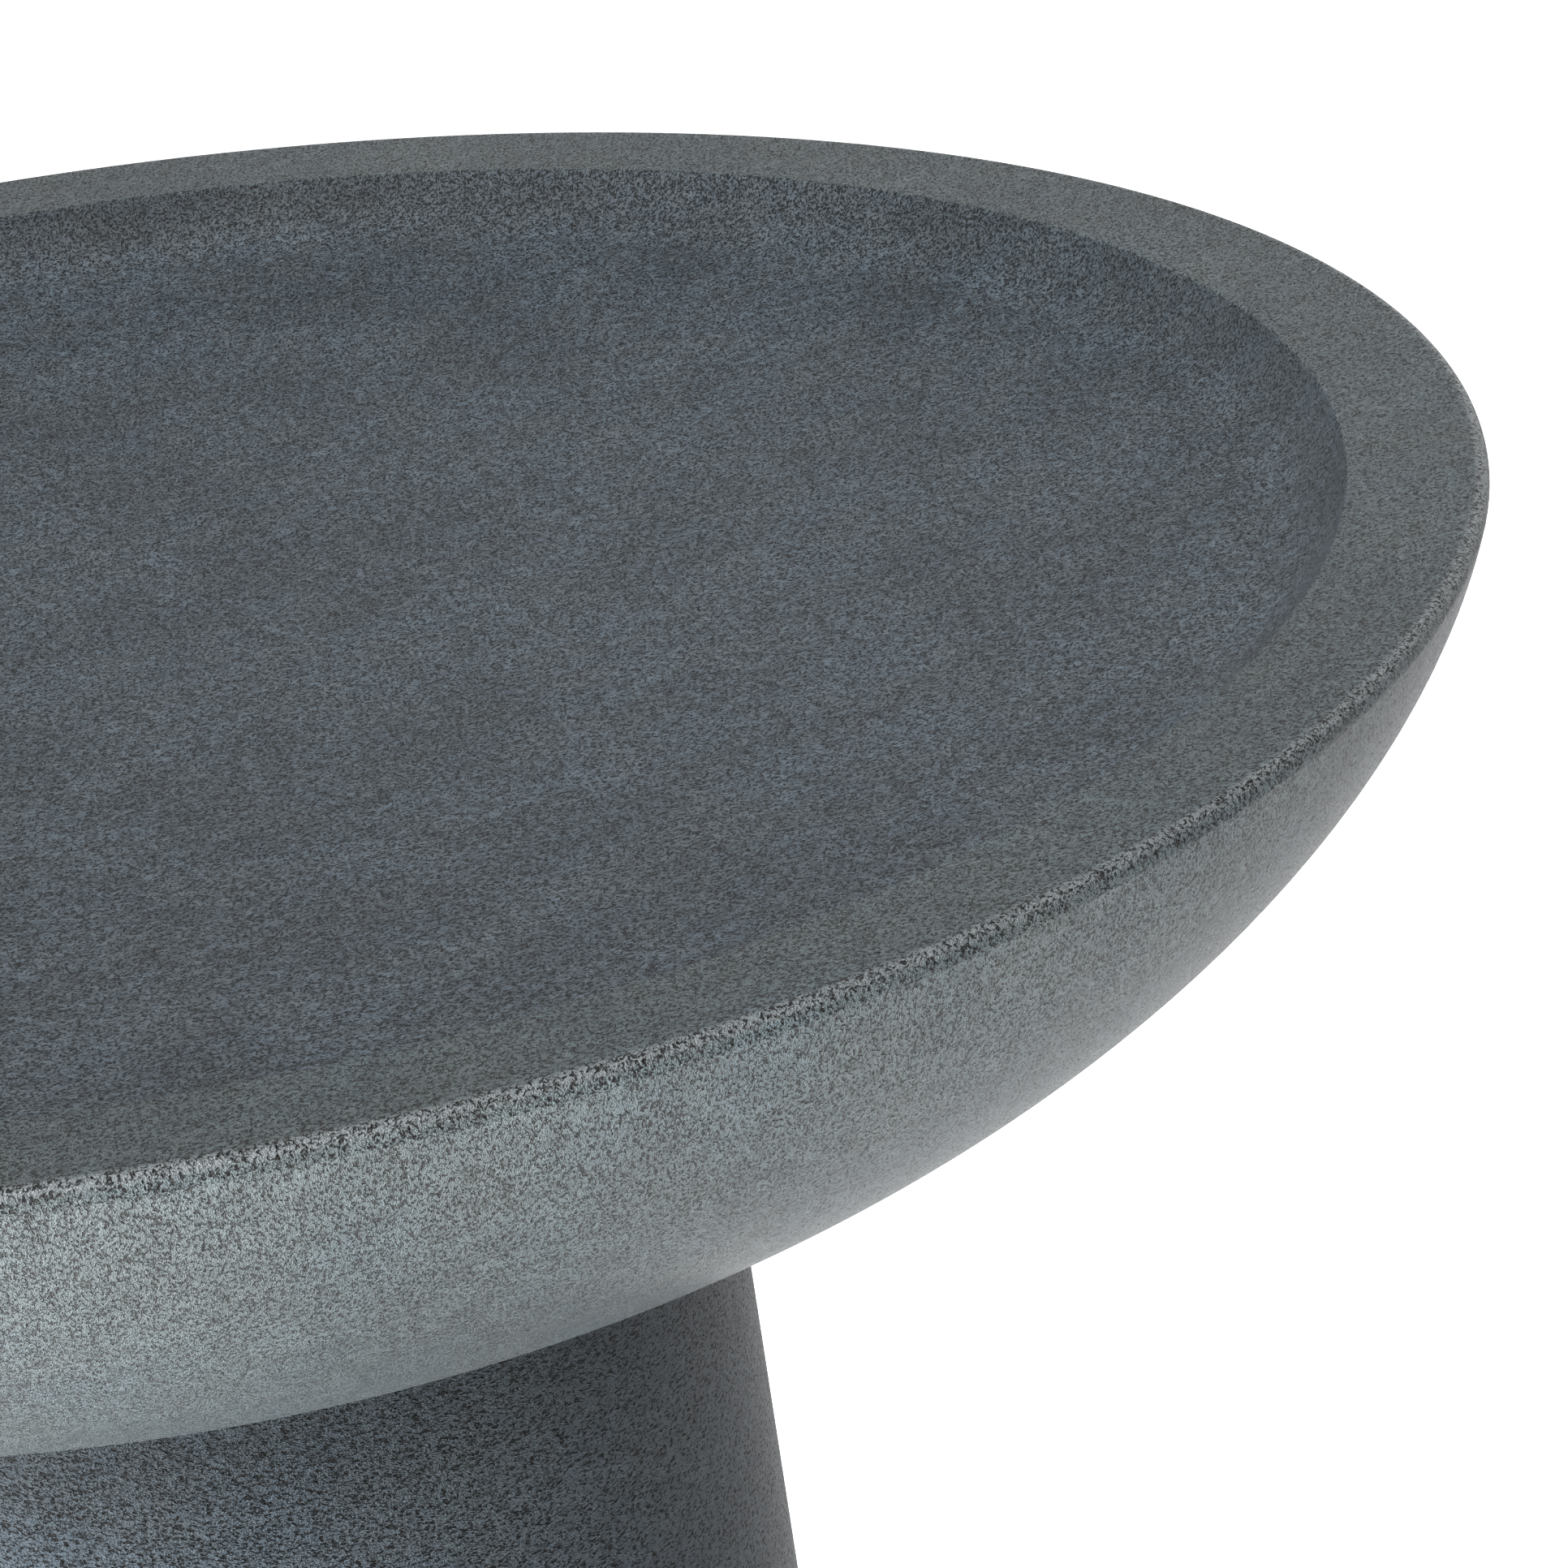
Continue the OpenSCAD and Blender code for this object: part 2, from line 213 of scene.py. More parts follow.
def distance(tree, a, b):
    """The length of the line whose run along two directions is a and b."""
    squares = calc(tree, "MULTIPLY", a, a), calc(tree, "MULTIPLY", b, b)
    return calc(tree, "SQRT", calc(tree, "ADD", *squares))


def span(tree, value, low, high, to_low=0.0, to_high=1.0):
    """A smooth change from to_low to to_high while the value goes from low to high."""
    return add_node(tree, "MapRange", {"Value": value, "From Min": low, "From Max": high,
                                       "To Min": to_low, "To Max": to_high},
                    interpolation_type="SMOOTHSTEP").outputs[0]


# sprayed stone-effect grain: short worm-like ridges with fine grit on them
grain_fx, take, give = effect("Sprayed grain", [
    ("Place", "NodeSocketVector", None), ("Size", "NodeSocketFloat", 0.0009)],
    [("Height", "NodeSocketFloat")])
per_size = calc(grain_fx, "DIVIDE", 1.0, take.outputs["Size"])
worms = add_node(grain_fx, "TexNoise", {"Vector": take.outputs["Place"], "Scale": per_size, "Detail": 1.5,
                                        "Roughness": 0.55, "Distortion": 0.9}).outputs[0]
per_grit = calc(grain_fx, "MULTIPLY", per_size, 2.3)
grit = add_node(grain_fx, "TexNoise", {"Vector": take.outputs["Place"], "Scale": per_grit, "Detail": 1.0,
                                       "Roughness": 0.5}).outputs[0]
ridge_part = calc(grain_fx, "MULTIPLY", span(grain_fx, worms, 0.33, 0.52), 0.72)
grit_part = calc(grain_fx, "MULTIPLY", grit, 0.28)
grain_fx.links.new(calc(grain_fx, "ADD", ridge_part, grit_part), give.inputs["Height"])

# soft mottles of a few millimetres over cloudy patches of a few centimetres
mottle_fx, take, give = effect("Soft mottle", [
    ("Place", "NodeSocketVector", None), ("Size", "NodeSocketFloat", 0.004)],
    [("Mottle", "NodeSocketFloat"), ("Cloud", "NodeSocketFloat"), ("Hue", "NodeSocketFloat")])
per_size = calc(mottle_fx, "DIVIDE", 1.0, take.outputs["Size"])
for socket, factor, detail in (("Mottle", 1.0, 3.0), ("Cloud", 0.07, 3.0), ("Hue", 0.16, 2.0)):
    noise = add_node(mottle_fx, "TexNoise", {
        "Vector": take.outputs["Place"], "Scale": calc(mottle_fx, "MULTIPLY", per_size, factor),
        "Detail": detail, "Roughness": 0.55, "Distortion": 0.3}).outputs[0]
    mottle_fx.links.new(span(mottle_fx, noise, 0.3, 0.7), give.inputs[socket])

# sparse pin holes left by air in the coat
pit_fx, take, give = effect("Pin holes", [
    ("Place", "NodeSocketVector", None), ("Spacing", "NodeSocketFloat", 0.02),
    ("Width", "NodeSocketFloat", 0.001)], [("Pit", "NodeSocketFloat")])
ragged = add_node(pit_fx, "TexNoise", {"Vector": take.outputs["Place"], "Scale": 900.0, "Detail": 1.0})
bent = add_node(pit_fx, "VectorMath", {0: ragged.outputs["Color"], 1: (0.5, 0.5, 0.5)},
                operation="SUBTRACT").outputs[0]
bent = add_node(pit_fx, "VectorMath", {0: bent, "Scale": 0.0012}, operation="SCALE").outputs[0]
place = add_node(pit_fx, "VectorMath", {0: take.outputs["Place"], 1: bent}, operation="ADD").outputs[0]
per_spacing = calc(pit_fx, "DIVIDE", 1.0, take.outputs["Spacing"])
cells = add_node(pit_fx, "TexVoronoi", {"Vector": place, "Scale": per_spacing, "Randomness": 1.0})
away = calc(pit_fx, "MULTIPLY", cells.outputs["Distance"], take.outputs["Spacing"])
chance = add_node(pit_fx, "SeparateColor", {0: cells.outputs["Color"]})
width = calc(pit_fx, "MULTIPLY", take.outputs["Width"], chance.outputs[0])
near = span(pit_fx, calc(pit_fx, "DIVIDE", away, width), 0.5, 1.0, 1.0, 0.0)
kept = calc(pit_fx, "GREATER_THAN", chance.outputs[1], 0.45)
pit_fx.links.new(calc(pit_fx, "MULTIPLY", near, kept), give.inputs["Pit"])

# a soft band around a circle about the axis: rubbed edges and painted highlights, dirt in a joint and
# painted shade
band_fx, take, give = effect("Ring band", [
    ("Place", "NodeSocketVector", None), ("Radius", "NodeSocketFloat", 0.25),
    ("Height", "NodeSocketFloat", 0.6), ("Reach", "NodeSocketFloat", 0.004)], [("Band", "NodeSocketFloat")])
xyz = add_node(band_fx, "SeparateXYZ", {0: take.outputs["Place"]}).outputs
outwards = calc(band_fx, "SUBTRACT", distance(band_fx, xyz[0], xyz[1]), take.outputs["Radius"])
upwards = calc(band_fx, "SUBTRACT", xyz[2], take.outputs["Height"])
share = calc(band_fx, "DIVIDE", distance(band_fx, outwards, upwards), take.outputs["Reach"])
band_fx.links.new(span(band_fx, share, 0.2, 1.0, 1.0, 0.0), give.inputs["Band"])


def use(tree, group, **values):
    """Place a node group with its own values."""
    node = tree.nodes.new("ShaderNodeGroup")
    node.node_tree = group
    for socket, value in values.items():
        if isinstance(value, bpy.types.NodeSocket):
            tree.links.new(value, node.inputs[socket])
        else:
            node.inputs[socket].default_value = value
    return node.outputs


def blend_colour(tree, how, factor, a, b):
    """Mix two colours by a factor."""
    node = tree.nodes.new("ShaderNodeMix")
    node.data_type, node.blend_type = "RGBA", how
    for socket, value in ((node.inputs[0], factor), (node.inputs[6], a), (node.inputs[7], b)):
        if isinstance(value, bpy.types.NodeSocket):
            tree.links.new(value, socket)
        else:
            socket.default_value = value
    return node.outputs[2]


def blank_material(name):
    """A new material: its tree, its Principled shader and the object's own coordinates."""
    made = bpy.data.materials.new(name)
    made.use_nodes = True
    tree = made.node_tree
    shader = tree.nodes["Principled BSDF"]
    return made, tree, shader, tree.nodes.new("ShaderNodeTexCoord").outputs["Object"]


def ring_mask(tree, place, radius, height, reach):
    """The mask of a soft ring on a piece, sizes in metres."""
    return use(tree, band_fx, Place=place, Radius=radius, Height=height, Reach=reach)["Band"]


# ring colours: a light grey for wear and painted highlight, a near black for dirt and painted shade
worn_and_highlight_grey, dirt_shade_black, pit_shadow = (0.30, 0.33, 0.345, 1), (0.02, 0.022, 0.022, 1), (0.02, 0.022, 0.025, 1)


def stone_coat(name, tone, grain=0.0006, stretch=(1, 1, 1), contrast=0.5, relief=0.0003, rough=0.40,
               sheen=0.5, mottle=0.12, mottle_size=0.0042, cloud=0.08, pits=0.0,
               painted_light_rings=(), wear_and_highlight=(), dirt_and_shade=()):
    """Satin slate-grey stone-effect coat, grained all over. The lightening rings (wear and painted
    highlight) and the darkening rings (dirt and painted shade) list radius, height, reach and how much on
    the piece;
    the rings of painted light have the colour and roughness there instead."""
    made, tree, shader, place = blank_material(name)
    along = add_node(tree, "Mapping", {"Vector": place, "Scale": stretch}).outputs[0]
    fine = use(tree, grain_fx, Place=along, Size=grain)
    soft = use(tree, mottle_fx, Place=place, Size=mottle_size)
    colour, gloss = (*tone, 1), rough
    # rings of painted light: another piece's lighter tone and roughness carried onto this one
    for *where, other, other_rough in painted_light_rings:
        ring = ring_mask(tree, place, *where)
        colour = blend_colour(tree, "MIX", ring, colour, (*other, 1))
        gloss = span(tree, ring, 0.0, 1.0, gloss, other_rough)
    hue = blend_colour(tree, "MIX", soft["Hue"], (0.96, 1.0, 1.05, 1), (1.02, 1.0, 0.985, 1))
    colour = blend_colour(tree, "MULTIPLY", 1.0, colour, hue)
    for shade in (span(tree, fine["Height"], 0.25, 0.8, 1 - contrast, 1 + contrast),
                  span(tree, soft["Mottle"], 0.0, 1.0, 1 - mottle, 1 + mottle),
                  span(tree, soft["Cloud"], 0.0, 1.0, 1 - cloud, 1 + cloud)):
        colour = add_node(tree, "VectorMath", {0: colour, "Scale": shade}, operation="SCALE").outputs[0]
    height = fine["Height"]
    # rings lightened for wear and painted highlight, and darkened for dirt and painted shade
    for rings, shown, edge_colour in ((wear_and_highlight, span(tree, fine["Height"], 0.35, 0.75), worn_and_highlight_grey),
                                      (dirt_and_shade, span(tree, soft["Mottle"], 0.1, 0.7, 0.5, 1.0), dirt_shade_black)):
        for *where, much in rings:
            ring = ring_mask(tree, place, *where)
            amount = calc(tree, "MULTIPLY", ring, calc(tree, "MULTIPLY", shown, much))
            colour = blend_colour(tree, "MIX", amount, colour, edge_colour)
    if pits:
        hole = use(tree, pit_fx, Place=place, Spacing=pits, Width=0.0011)["Pit"]
        colour = blend_colour(tree, "MIX", hole, colour, pit_shadow)
        height = calc(tree, "SUBTRACT", height, calc(tree, "MULTIPLY", hole, 1.5))
    tree.links.new(colour, shader.inputs["Base Color"])
    grain_gloss = span(tree, fine["Height"], 0.2, 0.9, 0.08, -0.05)
    tree.links.new(calc(tree, "ADD", grain_gloss, gloss), shader.inputs["Roughness"])
    shader.inputs["Specular IOR Level"].default_value = sheen
    bump = add_node(tree, "Bump", {"Height": height, "Distance": relief, "Strength": 1.0})
    tree.links.new(bump.outputs[0], shader.inputs["Normal"])
    return made


def finish_piece(piece, body, slot, material, *nodes):
    """Give a piece its material, its body and the nodes that it stands for."""
    piece.data.materials.clear()
    piece.data.materials.append(material)
    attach(piece, body)
    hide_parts(*nodes)


hidden_stone = stone_coat("unseen_stone", (0.062, 0.078, 0.086), contrast=0.5)
finish_piece(base_plate, "pedestal", "stone_finish", hidden_stone, "base_plate")


# ------------------------------------------------------------- foot inserts
# Turned brass M5 inserts with a knurled band, moulded into the base plate's bosses.

def keep_node(node, material):
    """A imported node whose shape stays: only its material changes."""
    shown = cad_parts[node]
    shown.data.materials.clear()
    shown.data.materials.append(material)


brass, tree, shader, place = blank_material("turned_brass")
shader.inputs["Metallic"].default_value = 1.0
around = add_node(tree, "Mapping", {"Vector": place, "Scale": (200, 200, 9000)}).outputs[0]
cuts = add_node(tree, "TexNoise", {"Vector": around, "Scale": 1.0, "Detail": 1.0}).outputs[0]
dull_brass, bright_brass = (0.45, 0.31, 0.12, 1), (0.74, 0.56, 0.27, 1)
tree.links.new(blend_colour(tree, "MIX", cuts, dull_brass, bright_brass), shader.inputs["Base Color"])
tree.links.new(span(tree, cuts, 0.2, 0.8, 0.22, 0.42), shader.inputs["Roughness"])
tree.links.new(add_node(tree, "Bump", {"Height": cuts, "Distance": 0.00003}).outputs[0],
               shader.inputs["Normal"])
keep_node("foot_inserts", brass)


# ----------------------------------------------------------- pedestal shell
# Tapered round tube of stone-effect resin, 5 mm thick, moulded in one with soft edges at both ends.

shell_low, shell_high = millimetres("pedestal_shell")
shell_top_r, shell_thick = 100.5, 5
taper = tan(radians(2.2))


def tapered(z):
    """The shell's outer radius at a height."""
    return shell_top_r + (shell_high.z - z) * taper


foot_round, top_round, wall_steps = 4, 3, 24
wall_low, wall_high = shell_low.z + foot_round, shell_high.z - top_round
wall_heights = [wall_low + (wall_high - wall_low) * i / wall_steps for i in range(wall_steps + 1)]
pedestal_shell = turned("pedestal_shell_moulded", [
    (tapered(shell_low.z) - shell_thick, shell_low.z),
    *arc((tapered(wall_low) - foot_round, wall_low), foot_round, -90, -6, 8),
    *[(tapered(z), z) for z in wall_heights],
    *arc((tapered(wall_high) - top_round, wall_high), top_round, 6, 90, 8),
    (tapered(shell_high.z) - shell_thick, shell_high.z)], steps=256)
# darker for 6 cm below the bowl: painted shade under the bowl; lighter along its top and bottom edges
pedestal_stone = stone_coat(
    "pedestal_stone", (0.068, 0.086, 0.100), 0.0008, stretch=(0.8, 0.8, 1.5), contrast=0.98,
    relief=0.0045, rough=0.34, sheen=0.30,
    wear_and_highlight=((0.1008, 0.4815, 0.004, 0.35), (0.1188, 0.006, 0.006, 0.4)),
    dirt_and_shade=((0.101, 0.4835, 0.06, 0.55),))
finish_piece(pedestal_shell, "pedestal", "stone_finish", pedestal_stone, "pedestal_shell")


# ------------------------------------------------------------- filler neck
# Injection-moulded black neck with a helical thread, its flange bonded to the socket's floor.

neck_low, neck_high = millimetres("filler_neck")
flange_z, flange_top = neck_high.z - 18, neck_high.z - 15
neck_bore_r, neck_r, neck_flange_r = 21, 24, 33
neck = turned("filler_neck_moulded", rounded([
    (neck_bore_r, neck_low.z), (neck_r, neck_low.z), (neck_r, flange_z), (neck_flange_r, flange_z),
    (neck_flange_r, flange_top), (neck_r, flange_top), (neck_r, neck_high.z), (neck_bore_r, neck_high.z),
    (neck_bore_r, neck_low.z)], 0.7, 3)[:-1], steps=128)


def helical_thread(name, root, crest, low, turns, pitch, ridge=2.0, steps=64):
    """A trapezoid ridge drawn on the thread's root and screwed up the axis."""
    piece = start_piece(name)
    inward = 0.4 if crest > root else -0.4
    here = (0, 0)
    for i, (r, z) in enumerate([(root - inward, -ridge / 2), (root, -ridge / 2), (crest, -ridge / 6),
                                (crest, ridge / 6), (root, ridge / 2), (root - inward, ridge / 2),
                                (root - inward, -ridge / 2)]):
        step = ((r - here[0]) * 0.001, 0, (z - here[1] + (low if i == 0 else 0)) * 0.001)
        if i:
            bpy.ops.mesh.extrude_region_move(TRANSFORM_OT_translate={"value": step})
        else:
            bpy.ops.transform.translate(value=step)
        here = (r, z)
    bpy.ops.mesh.select_all(action="SELECT")
    bpy.ops.mesh.remove_doubles(threshold=0.000004)
    bpy.ops.mesh.edge_face_add()
    bpy.ops.object.mode_set(mode="OBJECT")
    screw = piece.modifiers.new("thread", "SCREW")
    screw.axis, screw.angle, screw.screw_offset = "Z", 2 * pi * turns, pitch * turns * 0.001
    screw.steps = screw.render_steps = int(steps * turns)
    bpy.ops.object.modifier_apply(modifier="thread")
    bpy.ops.object.mode_set(mode="EDIT")
    close_piece(25)
    return piece


cap_pitch = 4
neck_thread = helical_thread("neck_thread", neck_r, 25.7, flange_z + 6.2, 2.25, cap_pitch)
neck = joined("filler_neck_moulded", [neck, neck_thread])


def moulded_plastic(name, colour, grain=0.0005, gloss=0.42):
    """Black polypropylene with a fine spark-eroded texture and slightly dusty high spots."""
    made, tree, shader, place = blank_material(name)
    fine = use(tree, grain_fx, Place=place, Size=grain)
    soft = use(tree, mottle_fx, Place=place, Size=0.006)
    dusty = calc(tree, "MULTIPLY", soft["Cloud"], calc(tree, "MULTIPLY", fine["Height"], 0.5))
    shade = blend_colour(tree, "MIX", dusty, (*colour, 1), (*(c * 2.2 + 0.012 for c in colour), 1))
    tree.links.new(shade, shader.inputs["Base Color"])
    tree.links.new(span(tree, soft["Mottle"], 0.0, 1.0, gloss - 0.06, gloss + 0.1),
                   shader.inputs["Roughness"])
    tree.links.new(add_node(tree, "Bump", {"Height": fine["Height"], "Distance": 0.00006}).outputs[0],
                   shader.inputs["Normal"])
    return made


black_plastic = moulded_plastic("black_polypropylene", (0.018, 0.018, 0.020))
finish_piece(neck, "pedestal", "black_plastic", black_plastic, "filler_neck")


# ----------------------------------------------------------- pedestal deck
# Stone-effect disc bonded into the top of the shell: a socket for the bowl's spigot, a hole for the
# filler neck and a groove for the rubber ring.

deck_high = millimetres("pedestal_deck")[1]
deck_r, deck_top, deck_thick, lead_in = deck_high.x, deck_high.z, 5, 1.4
groove_inner_r, groove_outer_r, groove_z = 73.8, 88.2, deck_top - 1.5
socket_r, socket_z, neck_hole_r = 63.5, flange_z, 24.05
under_z, skirt_z = deck_top - 6.5, deck_top - 18
pedestal_deck = turned("pedestal_deck_moulded", rounded([
    (deck_r, deck_top), (groove_outer_r, deck_top), (groove_outer_r, groove_z), (groove_inner_r, groove_z),
    (groove_inner_r, deck_top), (socket_r + lead_in, deck_top), (socket_r, deck_top - lead_in),
    (socket_r, socket_z), (neck_hole_r, socket_z), (neck_hole_r, socket_z - deck_thick),
    (socket_r + deck_thick, socket_z - deck_thick), (socket_r + deck_thick, under_z),
    (deck_r - deck_thick, under_z), (deck_r - deck_thick, skirt_z), (deck_r, skirt_z),
    (deck_r, deck_top)], 0.8, 3)[:-1], steps=192)
# darker in a band round the socket's mouth and in a thin line near the deck's edge
deck_stone = stone_coat("deck_stone", (0.055, 0.07, 0.077), contrast=0.45,
                        dirt_and_shade=((0.0655, 0.4825, 0.004, 0.6), (0.095, 0.4825, 0.0015, 0.8)))
finish_piece(pedestal_deck, "pedestal", "stone_finish", deck_stone, "pedestal_deck")


# -------------------------------------------------------- filler cap's seal
# Flat ring cut from black rubber sheet, lying on the neck's end inside the cap.

def black_rubber(name, sheen=0.62):
    """Matt black rubber, faintly grained, greyed with dust."""
    made, tree, shader, place = blank_material(name)
    fine = use(tree, grain_fx, Place=place, Size=0.0006)
    soft = use(tree, mottle_fx, Place=place, Size=0.005)
    dust = calc(tree, "MULTIPLY", soft["Cloud"], span(tree, fine["Height"], 0.3, 0.8, 0.1, 0.6))
    tree.links.new(blend_colour(tree, "MIX", dust, (0.012, 0.012, 0.012, 1), (0.045, 0.044, 0.041, 1)),
                   shader.inputs["Base Color"])
    tree.links.new(span(tree, soft["Mottle"], 0.0, 1.0, sheen, sheen + 0.16), shader.inputs["Roughness"])
    tree.links.new(add_node(tree, "Bump", {"Height": fine["Height"], "Distance": 0.00005}).outputs[0],
                   shader.inputs["Normal"])
    return made


rubber = black_rubber("black_rubber")
keep_node("filler_cap_seal", rubber)


# --------------------------------------------------------------- filler cap
# Black screw cap, injection-moulded: fluted skirt for grip, a raised finger bar across the top, and
# the mating thread inside.

cap_low, cap_high = millimetres("filler_cap")
cap_r, cap_bore_r, cap_top, roof_z = 31, 26.4, cap_high.z - 3, cap_high.z - 7
flutes, flute_columns, cap_round, ease = 24, 8, 1.4, 0.6
cap = turned("filler_cap_moulded", [
    (0, cap_top), *[(cap_r * i / 6, cap_top) for i in range(1, 6)],
    *arc((cap_r - cap_round, cap_top - cap_round), cap_round, 90, 0, 5),
    (cap_r, cap_top - 2.4), (cap_r, cap_top - 3.2), (cap_r, cap_low.z + 2), (cap_r, cap_low.z + 1.2),
    *arc((cap_r - ease, cap_low.z + ease), ease, 0, -90, 3), (cap_bore_r + ease, cap_low.z),
    (cap_bore_r, cap_low.z + ease), (cap_bore_r, roof_z - ease), (cap_bore_r - ease, roof_z), (0, roof_z),
], steps=flutes * flute_columns)
bpy.ops.object.mode_set(mode="EDIT")
for column, depth in ((0, 1.4), (1, 1.15), (7, 1.15), (2, 0.5), (6, 0.5)):
    bpy.ops.mesh.select_all(action="DESELECT")
    bpy.ops.object.mode_set(mode="OBJECT")
    for v in cap.data.vertices:
        r = hypot(v.co.x, v.co.y) * 1000
        around = round(degrees(atan2(v.co.y, v.co.x)) / 360 * flutes * flute_columns)
        on_skirt = abs(r - cap_r) < 0.01 and v.co.z * 1000 < cap_top - 3
        v.select = on_skirt and around % flute_columns == column
    bpy.ops.object.mode_set(mode="EDIT")
    shrink = 1 - depth / cap_r
    bpy.ops.transform.resize(value=(shrink, shrink, 1), center_override=(0, 0, 0))
bpy.ops.object.mode_set(mode="OBJECT")
bpy.ops.object.shade_smooth_by_angle(angle=radians(32))

bpy.ops.object.select_all(action="DESELECT")
bpy.ops.mesh.primitive_cube_add(size=0.001, location=(0, 0, (cap_top + 1.25) * 0.001), scale=(50, 9, 3.5))
finger_bar = bpy.context.object
bpy.ops.object.transform_apply(location=True, rotation=False, scale=True)
bpy.ops.object.mode_set(mode="EDIT")
bpy.ops.mesh.select_all(action="SELECT")
bpy.ops.mesh.bevel(offset=0.0012, segments=4)
bpy.ops.object.mode_set(mode="OBJECT")
combined(cap, finger_bar, "UNION")
cap_thread = helical_thread("cap_thread", cap_bore_r, 24.5, cap_low.z + 2.6, 2.0, cap_pitch, ridge=1.2)
cap = joined("filler_cap_moulded", [cap, cap_thread])
cap_plastic = moulded_plastic("cap_polypropylene", (0.02, 0.02, 0.022), gloss=0.36)
finish_piece(cap, "cap", "black_plastic", cap_plastic, "filler_cap")


# -------------------------------------------------------- drain plug's seal
# Black rubber ring squeezed between the plug's flange and the drain boss.

keep_node("drain_plug_seal", rubber)


# --------------------------------------------------------------- drain plug
# Black hexagon-headed screw plug, injection-moulded hollow from above, with a 2 mm thread.

plug_low, plug_high = millimetres("drain_plug")
shank_z, shank_r, hollow_r, plug_flange_r = plug_low.z + 7, 8.4, 6.3, 15
plug = turned("drain_plug_moulded", [
    (0, shank_z - 1.6), (plug_flange_r - 0.4, shank_z - 1.6), (plug_flange_r, shank_z - 1.2),
    (plug_flange_r, shank_z - 0.3), (plug_flange_r - 0.3, shank_z), (shank_r, shank_z),
    (shank_r, plug_high.z - 1.5), (shank_r - 1.2, plug_high.z), (hollow_r, plug_high.z),
    (hollow_r, shank_z - 1), (0, shank_z - 1)], steps=96)
hexagon = drum(13.5, plug_low.z, shank_z - 1.3, (0, 0), sides=6, bevel=0.7)
combined(plug, hexagon, "UNION")
plug_thread = helical_thread("plug_thread", shank_r, 9.3, shank_z + 2.4, 6, 2, ridge=1.3, steps=40)
plug = joined("drain_plug_moulded", [plug, plug_thread])
finish_piece(plug, "drain_screw", "black_plastic", black_plastic, "drain_plug")


# -------------------------------------------------------------- rubber feet
# Four round feet of black rubber with a chamfered tread and a stepped hole for the screw.

feet_top = millimetres("rubber_feet")[1].z
foot_r, tread_r, head_hole_r, screw_hole_r, head_seat_z = 12, 9.5, 4.85, 2.65, 4.4
feet = []
for xy in feet_xy:
    foot = turned("rubber_foot", rounded([
        (head_hole_r, 0), (tread_r, 0), (foot_r, 1.6), (foot_r, feet_top), (screw_hole_r, feet_top),
        (screw_hole_r, head_seat_z), (head_hole_r, head_seat_z), (head_hole_r, 0)], 0.6, 3)[:-1], steps=48)
    bpy.ops.object.select_all(action="DESELECT")
    foot.select_set(True)
    bpy.ops.transform.translate(value=(xy[0] * 0.001, xy[1] * 0.001, 0))
    bpy.ops.object.transform_apply(location=True, rotation=False, scale=False)
    feet.append(foot)
feet = joined("rubber_feet_moulded", feet)
finish_piece(feet, "pedestal", "black_rubber", black_rubber("tread_rubber", 0.7), "rubber_feet")


# -------------------------------------------------------------- foot screws
# M5 pan-head screws, zinc plated, up through the feet into the brass inserts.

zinc, tree, shader, place = blank_material("zinc_plated_steel")
shader.inputs["Metallic"].default_value = 1.0
cloudy = use(tree, mottle_fx, Place=place, Size=0.0012)
tree.links.new(blend_colour(tree, "MIX", cloudy["Mottle"], (0.42, 0.43, 0.44, 1), (0.66, 0.66, 0.65, 1)),
               shader.inputs["Base Color"])
tree.links.new(span(tree, cloudy["Mottle"], 0.0, 1.0, 0.26, 0.44), shader.inputs["Roughness"])
keep_node("foot_screws", zinc)


# ---------------------------------------------------------------- seat ring
# Black rubber ring, square-cut with eased edges, lying in the deck's groove; the bowl stands on it.

ring_low, ring_high = millimetres("seat_ring")
ring_inner_r, ring_outer_r = 74, 88
seat_ring = turned("seat_ring_moulded", rounded([
    (ring_inner_r, ring_low.z), (ring_outer_r, ring_low.z), (ring_outer_r, ring_high.z),
    (ring_inner_r, ring_high.z), (ring_inner_r, ring_low.z)], 0.5, 3)[:-1], steps=160)
finish_piece(seat_ring, "pedestal", "black_rubber", rubber, "seat_ring")


# ----------------------------------------------------------- bowl underside
# Lower shell of the bowl: a deep curved wall of stone-effect resin, 5 mm thick, that leans in below
# the rim and sweeps down to a flat foot; bonded to the basin shell along the seam under the rim.

under_low, under_high = millimetres("bowl_underside")
bowl_r, bowl_thick, rim_z, seam_z = 255, 5, millimetres("basin_shell")[1].z, under_high.z
wall_a, wall_b, wall_n, wall_centre = bowl_r * 1.0075, bowl_r * 0.5893, 1.8, rim_z + bowl_r * 0.033


def wall_r(z):
    """The outer wall's radius at a height: a superellipse of revolution."""
    return wall_a * (1 - ((wall_centre - z) / wall_b) ** wall_n) ** (1 / wall_n)


def wall_point(z, depth=0.0):
    """A point at a depth inside the outer wall, measured square to it."""
    lean = atan2(wall_r(z + 0.05) - wall_r(z - 0.05), 0.1)
    return wall_r(z) - depth * cos(lean), z + depth * sin(lean)


def wall_run(low, high, depth, steps):
    """Points up the wall, closer together where it bends most."""
    return [wall_point(low + (high - low) * (i / steps) ** 1.5, depth) for i in range(steps + 1)]


foot_z, hole_r = under_low.z, 94.2
seam_r = wall_r(seam_z)
seam_lean = degrees(atan((wall_r(seam_z + 0.05) - wall_r(seam_z - 0.05)) / 0.1))
bowl_underside = turned("bowl_underside_moulded", [
    (hole_r, foot_z), *[(hole_r + (wall_r(foot_z) - hole_r) * i / 4, foot_z) for i in range(1, 4)],
    *wall_run(foot_z, seam_z - 0.02, 0, 72), (seam_r - bowl_thick, seam_z - 0.02),
    *wall_run(foot_z, seam_z - 3, bowl_thick, 40)[::-1],
    (hole_r, foot_z + bowl_thick)], steps=288)
